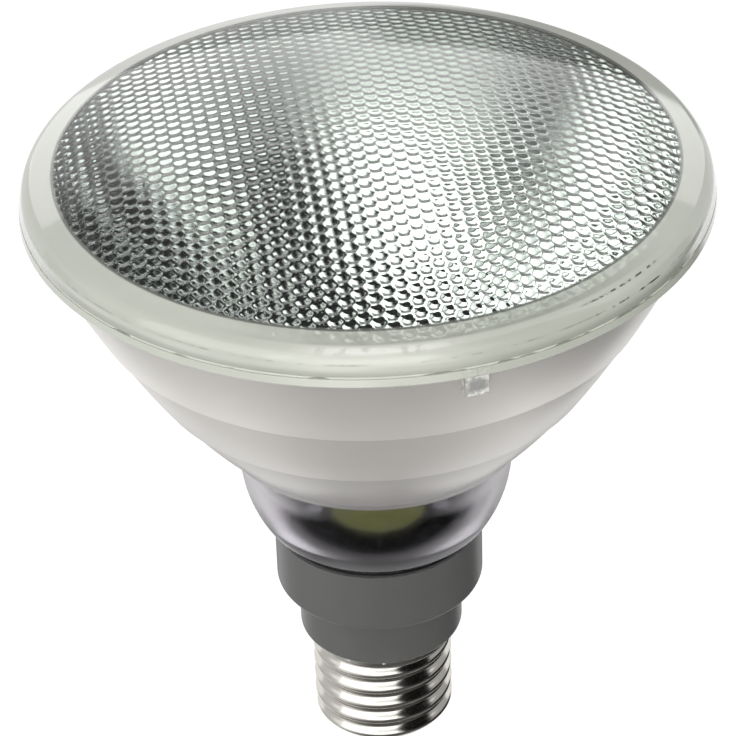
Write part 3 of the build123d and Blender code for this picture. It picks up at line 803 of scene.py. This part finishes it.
def lens_outside():
    """Profile of the lens from the inner dome's edge round the seat and side to the crown."""
    foot = Vector((lens_radius, lens_seat))
    edge = Vector((dome_edge_radius, lens_crown - dome_rise))
    middle = Vector((0.0, dome_centre))
    up = (edge - foot).normalized()
    inward = Vector((-up.y, up.x))
    start = foot + inward * lens_edge_round - middle
    reach = dome_radius - lens_edge_round
    rise = -start.dot(up) + sqrt(start.dot(up) ** 2 - start.length_squared + reach ** 2)
    centre = foot + up * rise + inward * lens_edge_round
    outward = centre - middle
    low = atan2(-inward.y, -inward.x)
    high = atan2(outward.y, outward.x)
    inner_edge = dome_centre + sqrt((dome_radius - lens_wall) ** 2 - lens_bore ** 2)
    profile = [Vector((lens_bore, inner_edge)), Vector((lens_bore, lens_seat)), foot]
    for step in range(edge_round_steps + 1):
        angle = low + (high - low) * step / edge_round_steps
        profile.append(centre + lens_edge_round * Vector((cos(angle), sin(angle))))
    dome_start = profile[-1].x
    for ring in range(1, dome_rings):
        radius = dome_start * (1 - ring / dome_rings)
        profile.append(Vector((radius, dome_centre + sqrt(dome_radius ** 2 - radius ** 2))))
    return profile


def honeycomb_lens(material):
    """Lens as one closed shell: honeycomb inside, smooth dome outside."""
    step = cell_pitch / (sqrt(3) * cell_splits)
    inputs = {
        "Pitch": cell_pitch,
        "Turn": cell_turn,
        "Height": cell_height,
        "Radius": pattern_radius,
        "Dome": dome_radius - lens_wall,
        "Centre": dome_centre,
        "Columns": 2 * int(grid_columns_reach * pattern_radius / step) + 1,
        "Rows": 2 * int(grid_rows_reach * pattern_radius / step) + 1,
    }
    lens = grown_mesh("honeycomb_lens", honeycomb_tree(inputs, material), inputs)
    shell = bmesh.new()
    shell.from_mesh(lens.data)
    rim = [edge for edge in shell.edges if edge.is_boundary]
    for point in lens_outside():
        made = bmesh.ops.extrude_edge_only(shell, edges=rim)["geom"]
        rim = [item for item in made if isinstance(item, bmesh.types.BMEdge)]
        for vertex in (item for item in made if isinstance(item, bmesh.types.BMVert)):
            around = Vector((vertex.co.x, vertex.co.y)).normalized()
            vertex.co = (around.x * point.x, around.y * point.x, point.y)
        rim = [edge for edge in rim if edge.is_boundary]
    made = bmesh.ops.extrude_edge_only(shell, edges=rim)["geom"]
    tip = [item for item in made if isinstance(item, bmesh.types.BMVert)]
    bmesh.ops.pointmerge(shell, verts=tip, merge_co=(0.0, 0.0, lens_crown))
    bmesh.ops.recalc_face_normals(shell, faces=shell.faces)
    for face in shell.faces:
        face.smooth = True
    shell.to_mesh(lens.data)
    shell.free()
    return lens


def bead_tree(inputs, material):
    """Ring of cement with an uneven outer edge; five rows run round its square section."""
    b, given = geometry_tree("cement_bead", inputs)
    grid = b.node("GeometryNodeMeshGrid", {},
                  {"Size X": 1.0, "Size Y": 4.0, "Vertices X": given["Columns"], "Vertices Y": 5})
    x, y = b.node("GeometryNodeInputPosition", {}, {}).xyz()[:2]
    angle = (x + 0.5) * (2 * pi)
    outer = (y.size() < 1.5) * (y < 0.5)
    upper = (y.size() < 1.5) * (y > -0.5)
    around = b.vector(angle.cos(), angle.sin(), 0.0)
    lump = b.node("ShaderNodeTexNoise", {}, {"Vector": around, "Scale": bead_lumps}, "Fac")
    edge = given["Outer"] - given["Recess"] * lump.ramp(bead_recess_start, bead_recess_full)
    radius = given["Inner"] + (edge - given["Inner"]) * outer
    height = given["Low"] + (given["High"] - given["Low"]) * upper
    wrapped = b.vector(angle.cos() * radius, angle.sin() * radius, height)
    ring = b.node("GeometryNodeSetPosition", {}, {"Geometry": grid, "Position": wrapped})
    ring = b.node("GeometryNodeMergeByDistance", {}, {"Geometry": ring, "Distance": weld_distance})
    close_tree(b, ring, material)
    return b.tree


def cement_bead(material):
    """Cement that fills the joint between lens and bowl nearly to its edge."""
    inputs = {
        "Inner": bead_inner_radius,
        "Outer": lens_radius - bead_inset,
        "Low": bead_low.z,
        "High": bead_high.z,
        "Recess": bead_recess,
        "Columns": bead_columns,
    }
    return grown_mesh("cement_bead", bead_tree(inputs, material), inputs)


def thread_tree(inputs, material):
    """Rolled shell: round thread that runs out at the turned-in bottom, staked plain skirt on top."""
    b, given = geometry_tree("thread", inputs)
    grid = b.node("GeometryNodeMeshGrid", {}, {
        "Size X": 1.0,
        "Size Y": 1.0,
        "Vertices X": given["Columns"],
        "Vertices Y": given["Rows"],
    })
    x, y = b.node("GeometryNodeInputPosition", {}, {}).xyz()[:2]
    turn = x + 0.5
    climb = (y + 0.5) ** row_crowding * (given["Top"] - given["Bottom"])
    height = given["Bottom"] + climb
    wave = ((turn - (height - given["Start"]) / given["Pitch"]) * (2 * pi)).cos()
    thread = given["Crest"] - given["Depth"] / 2 + wave * given["Depth"] / 2
    skirt = given["Top"] - given["Skirt"]
    plain = height.ramp(skirt - skirt_blend, skirt + skirt_blend)
    side = thread + (given["Skirt Radius"] - thread) * plain
    roll = (given["Roll"] - climb).most(0.0)
    limit = given["Skirt Radius"] - given["Roll"] + (given["Roll"] * given["Roll"] - roll * roll).sqrt()
    radius = b.node("ShaderNodeMath", {"operation": "SMOOTH_MIN"}, {0: side, 1: limit, 2: roll_blend})
    angle = turn * (2 * pi)
    across = angle.wrapped(2 * pi / stake_count) * given["Crest"]
    along = height - given["Top"] + stake_drop
    near = (across * across + along * along).sqrt().ramp(given["Stake"], 0.0)
    radius = radius - near * given["Stake Depth"]
    wrapped = b.vector(angle.cos() * radius, angle.sin() * radius, height)
    tube = b.node("GeometryNodeSetPosition", {}, {"Geometry": grid, "Position": wrapped})
    tube = b.node("GeometryNodeMergeByDistance", {}, {"Geometry": tube, "Distance": weld_distance})
    close_tree(b, tube, material)
    return b.tree


def sheet_thickness(host):
    """Gives the shell its sheet thickness inwards."""
    wall = host.modifiers.new("sheet", "SOLIDIFY")
    wall.thickness = shell_sheet
    wall.offset = -1.0


def threaded_shell(material):
    """Screw shell in thin rolled sheet."""
    inputs = {
        "Pitch": thread_pitch,
        "Crest": thread_crest_radius,
        "Depth": thread_depth,
        "Start": shell_bottom - thread_lead_in,
        "Bottom": shell_bottom,
        "Top": cap_top,
        "Skirt": skirt_length,
        "Skirt Radius": skirt_radius,
        "Roll": shell_turn_in,
        "Stake": stake_size,
        "Stake Depth": stake_depth,
        "Columns": thread_columns,
        "Rows": thread_rows,
    }
    return grown_mesh("threaded_shell", thread_tree(inputs, material), inputs, sheet_thickness)


def stand(piece, node):
    """Puts a piece in a CAD node's place."""
    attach(piece, "root")
    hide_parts(node)


def dress_lamp():
    """Materials of the CAD nodes and the pieces that stand for three of them."""
    stand(honeycomb_lens(lens_glass()), "front_lens")
    stand(threaded_shell(nickel_plate()), "screw_shell")
    stand(cement_bead(rim_cement()), "rim_seal")
    finishes = {
        "reflector_bowl": bowl_glass(),
        "collar": collar_plastic(),
        "led_phosphor": phosphor_gel(),
        "driver_board": circuit_board(),
        "transformer_winding": wound_copper("winding_copper", transformer_wire),
        "choke_winding": wound_copper("choke_copper", choke_wire),
    }
    for node, name, tones, lump, rough, others in small_parts:
        finishes[node] = plain_finish(name, tones, lump, rough, **others)
    for node, material in finishes.items():
        paint(node, material)


def camera():
    """Camera at the photograph's place, looking at the lamp with the photograph's lean."""
    place = Vector((0.0, -camera_distance * cos(camera_elevation),
                    camera_level + camera_distance * sin(camera_elevation)))
    forward = (camera_target - place).normalized()
    right = forward.cross(Vector((0.0, 0.0, 1.0))).normalized()
    up = right.cross(forward)
    tilted_right = right * cos(camera_roll) + up * sin(camera_roll)
    tilted_up = up * cos(camera_roll) - right * sin(camera_roll)
    data = bpy.data.cameras.new("camera")
    data.sensor_width = sensor_width
    data.lens = focal_pixels * sensor_width / image_pixels
    data.clip_start = nearest_seen
    data.clip_end = farthest_seen
    item = bpy.data.objects.new("camera", data)
    axes = Matrix((tilted_right, tilted_up, -forward)).transposed()
    item.matrix_world = Matrix.Translation(place) @ axes.to_4x4()
    bpy.context.collection.objects.link(item)
    bpy.context.scene.camera = item


def seen_directly(builder):
    """1 for camera, mirror and glass rays, which see the background's own white."""
    path = builder.node("ShaderNodeLightPath", {}, {}, "Is Camera Ray")
    return path.most(path.output("Is Glossy Ray")).most(path.output("Is Transmission Ray"))


def studio_world():
    """White surroundings with an even, softer light on the lamp."""
    world = bpy.data.worlds.new("studio")
    world.use_nodes = True
    world.node_tree.nodes.clear()
    b = Builder(world.node_tree)
    strength = ambient_light + seen_directly(b) * (background_white - ambient_light)
    light = b.node("ShaderNodeBackground", {}, {"Color": white, "Strength": strength})
    b.node("ShaderNodeOutputWorld", {}, {"Surface": light})
    bpy.context.scene.world = world


def studio_floor():
    """Pale floor well under the lamp, which is held by its cap."""
    f = Finish("floor")
    tone = f.mix(f.noise(floor_mottle), floor_dark, floor_light)
    pale = f.surface(base_color=tone, roughness=0.8)
    glow = f.node("ShaderNodeEmission", {}, {"Color": white, "Strength": floor_glow * seen_directly(f)})
    both = f.node("ShaderNodeAddShader", {}, {0: pale, 1: glow})
    corners = [(x * floor_half, y * floor_half, floor_level) for x, y in square]
    item = flat_sheet("floor", corners, f.done(both))


def flat_sheet(name, corners, material):
    """Four-cornered sheet with one material."""
    mesh = bpy.data.meshes.new(name)
    mesh.from_pydata(corners, [], [(0, 1, 2, 3)])
    mesh.materials.append(material)
    item = bpy.data.objects.new(name, mesh)
    bpy.context.collection.objects.link(item)
    return item


def facing_lamp(place):
    """Turn that points something at the given place to the lamp's middle."""
    return (lamp_middle - Vector(place)).to_track_quat("-Z", "Y")


def softbox(name, place, width, height, power):
    """Area light that faces the lamp's middle."""
    data = bpy.data.lights.new(name, "AREA")
    data.shape = "RECTANGLE"
    data.size = width
    data.size_y = height
    data.energy = power
    item = bpy.data.objects.new(name, data)
    item.location = place
    item.rotation_mode = "QUATERNION"
    item.rotation_quaternion = facing_lamp(place)
    bpy.context.collection.objects.link(item)
    return item


def soft_card(name, place, width, height, glow, core):
    """Card with soft edges that faces the lamp's middle; only mirrors and glass see it."""
    middle = Vector(place)
    turn = facing_lamp(place)
    f = Finish(name)
    solid = 1.0
    for axis, length in (((1.0, 0.0, 0.0), width), ((0.0, 1.0, 0.0), height)):
        along = turn @ Vector(axis)
        offset = f.node("ShaderNodeVectorMath", {"operation": "DOT_PRODUCT"}, {0: f.place, 1: along}, "Value")
        solid = solid * (offset - along.dot(middle)).size().ramp(length / 2, core * length / 2)
    dark, light = ((share * glow,) * 3 + (1.0,) for share in (1.0, card_lightest))
    tone = f.mix(f.noise(card_mottle), dark, light)
    card = f.node("ShaderNodeEmission", {}, {"Color": tone, "Strength": 1.0})
    open_air = f.node("ShaderNodeBsdfTransparent", {}, {})
    corners = [middle + turn @ Vector((x * width / 2, y * height / 2, 0.0)) for x, y in square]
    item = flat_sheet(name, corners, f.done(f.blend(solid, open_air, card)))
    item.visible_camera = False
    item.visible_diffuse = False
    item.visible_shadow = False


def studio():
    """Floor, surroundings, lights and camera."""
    bpy.context.scene.view_settings.view_transform = "Standard"
    studio_world()
    studio_floor()
    for light in softboxes:
        softbox(*light)
    fill = softbox(*fill_light)
    fill.visible_glossy = False
    fill.visible_transmission = False
    for card in cards:
        soft_card(*card)
    camera()


dress_lamp()
studio()
